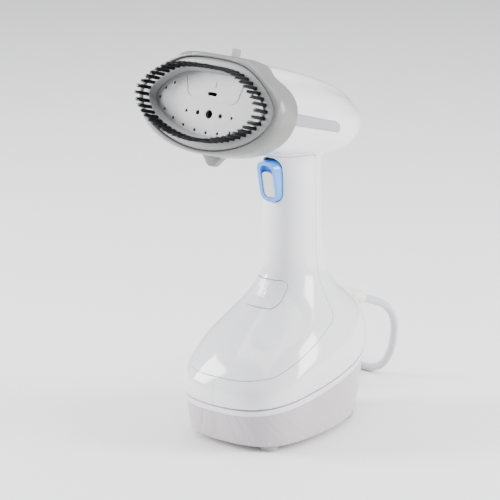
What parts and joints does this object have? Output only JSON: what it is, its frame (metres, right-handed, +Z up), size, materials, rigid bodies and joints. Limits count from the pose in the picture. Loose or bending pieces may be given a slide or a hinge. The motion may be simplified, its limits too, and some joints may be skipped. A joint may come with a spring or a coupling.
{
  "type": "garment steamer",
  "caption": "Upright handheld garment steamer with a tilted bristle head, blue trigger, lift-off water tank as its foot, and a rear cord.",
  "frame": {"origin": "on the ground, under the middle of the steamer's bounding box without its cord", "axes": "+Z up, the steam plate faces -Y, +X to the left as seen from the front"},
  "size_m": [0.1962, 0.2589, 0.2942],
  "materials": {
    "white_shell": "gloss",
    "button_white": "gloss",
    "strip_grey": "satin",
    "deck_grey": "satin",
    "plate_metal": "satin",
    "collar_grey": "satin",
    "ring_grey": "satin",
    "bristle_black": "matte",
    "latch_grey": "satin",
    "seal_rubber": "matte",
    "cast_metal": "cast",
    "sheet_metal": "brushed",
    "spring_steel": "bright",
    "dark_plastic": "satin",
    "trigger_blue": "gloss",
    "lock_grey": "satin",
    "plunger_red": "satin",
    "tank_tint": "frosted",
    "lid_white": "gloss",
    "foot_grey": "matte",
    "hose_clear": "satin",
    "board_green": "satin",
    "cord_grey": "satin",
    "sleeve_cream": "satin",
    "blade_brass": "bright"
  },
  "bodies": {
    "main": {"left_housing": "white_shell", "right_housing": "white_shell", "front_cover": "white_shell", "base_deck": "deck_grey", "left_strip": "strip_grey", "right_strip": "strip_grey", "steam_plate": "plate_metal", "plate_seal": "seal_rubber", "latch_spring": "spring_steel", "boiler_body": "cast_metal", "boiler_cover": "cast_metal", "heating_element": "sheet_metal", "thermostat": "dark_plastic", "thermal_fuse": "sheet_metal", "heat_shield": "sheet_metal", "boiler_screws": "spring_steel", "trigger_pin": "spring_steel", "trigger_bracket": "dark_plastic", "trigger_spring": "spring_steel", "micro_switch": "dark_plastic", "button_spring": "spring_steel", "pump_body": "dark_plastic", "pump_mounts": "seal_rubber", "suction_hose": "hose_clear", "pressure_hose": "hose_clear", "circuit_board": "board_green", "cord_clamp": "dark_plastic", "cord_socket": "deck_grey", "power_cord": "cord_grey", "cord_coil": "cord_grey", "cord_tail": "cord_grey", "plug_body": "cord_grey", "plug_blades": "blade_brass", "housing_screws": "spring_steel"},
    "brush": {"brush_frame": "collar_grey", "brush_ring": "ring_grey", "bristle_tufts": "bristle_black"},
    "catch": {"brush_latch": "latch_grey"},
    "trigger_body": {"trigger": "trigger_blue"},
    "lock": {"trigger_lock": "lock_grey"},
    "plunger": {"switch_plunger": "plunger_red"},
    "release": {"release_button": "button_white", "tank_latch": "dark_plastic"},
    "tank": {"water_tank": "tank_tint", "tank_lid": "lid_white", "tank_feet": "foot_grey", "intake_tube": "hose_clear", "intake_filter": "dark_plastic", "intake_seal": "seal_rubber"},
    "cap": {"fill_cap": "foot_grey"},
    "swivel": {"cord_sleeve": "sleeve_cream"}
  },
  "joints": [
    {"name": "brush_pull", "type": "slide", "parent": "main", "child": "brush", "axis": [0, -0.9613, 0.2756], "range_m": [0, 0.06]},
    {"name": "catch_slide", "type": "slide", "parent": "main", "child": "catch", "axis": [0, 0.9613, -0.2756], "range_m": [0, 0.0035], "stiffness_N_per_m": 400, "springref_m": -0.002},
    {"name": "trigger_hinge", "type": "hinge", "parent": "main", "child": "trigger_body", "pos_m": [0, 0.0015, 0.1705], "axis": [-1, 0, 0], "range_deg": [0, 6], "stiffness_Nm_per_rad": 1, "springref_deg": -2.86},
    {"name": "lock_slide", "type": "slide", "parent": "trigger_body", "child": "lock", "axis": [0, -0.1932, 0.9812], "range_m": [0, 0.0045]},
    {"name": "plunger_slide", "type": "slide", "parent": "main", "child": "plunger", "axis": [0, 1, 0], "range_m": [0, 0.00226]},
    {"name": "button_slide", "type": "slide", "parent": "main", "child": "release", "axis": [0, 1, 0], "range_m": [0, 0.003], "stiffness_N_per_m": 600, "springref_m": -0.002},
    {"name": "tank_slide", "type": "slide", "parent": "main", "child": "tank", "axis": [0, 0, -1], "range_m": [0, 0.06]},
    {"name": "cap_hinge", "type": "hinge", "parent": "tank", "child": "cap", "pos_m": [0, 0.0851, 0.02], "axis": [-1, 0, 0], "range_deg": [0, 110]},
    {"name": "cord_swivel", "type": "hinge", "parent": "main", "child": "swivel", "pos_m": [0, 0.065, 0.0906], "axis": [0, 0.9397, -0.342], "continuous": true}
  ],
  "couplings": [
    {"joint": "plunger_slide", "follows": "trigger_hinge", "m_per_rad": 0.0215}
  ]
}
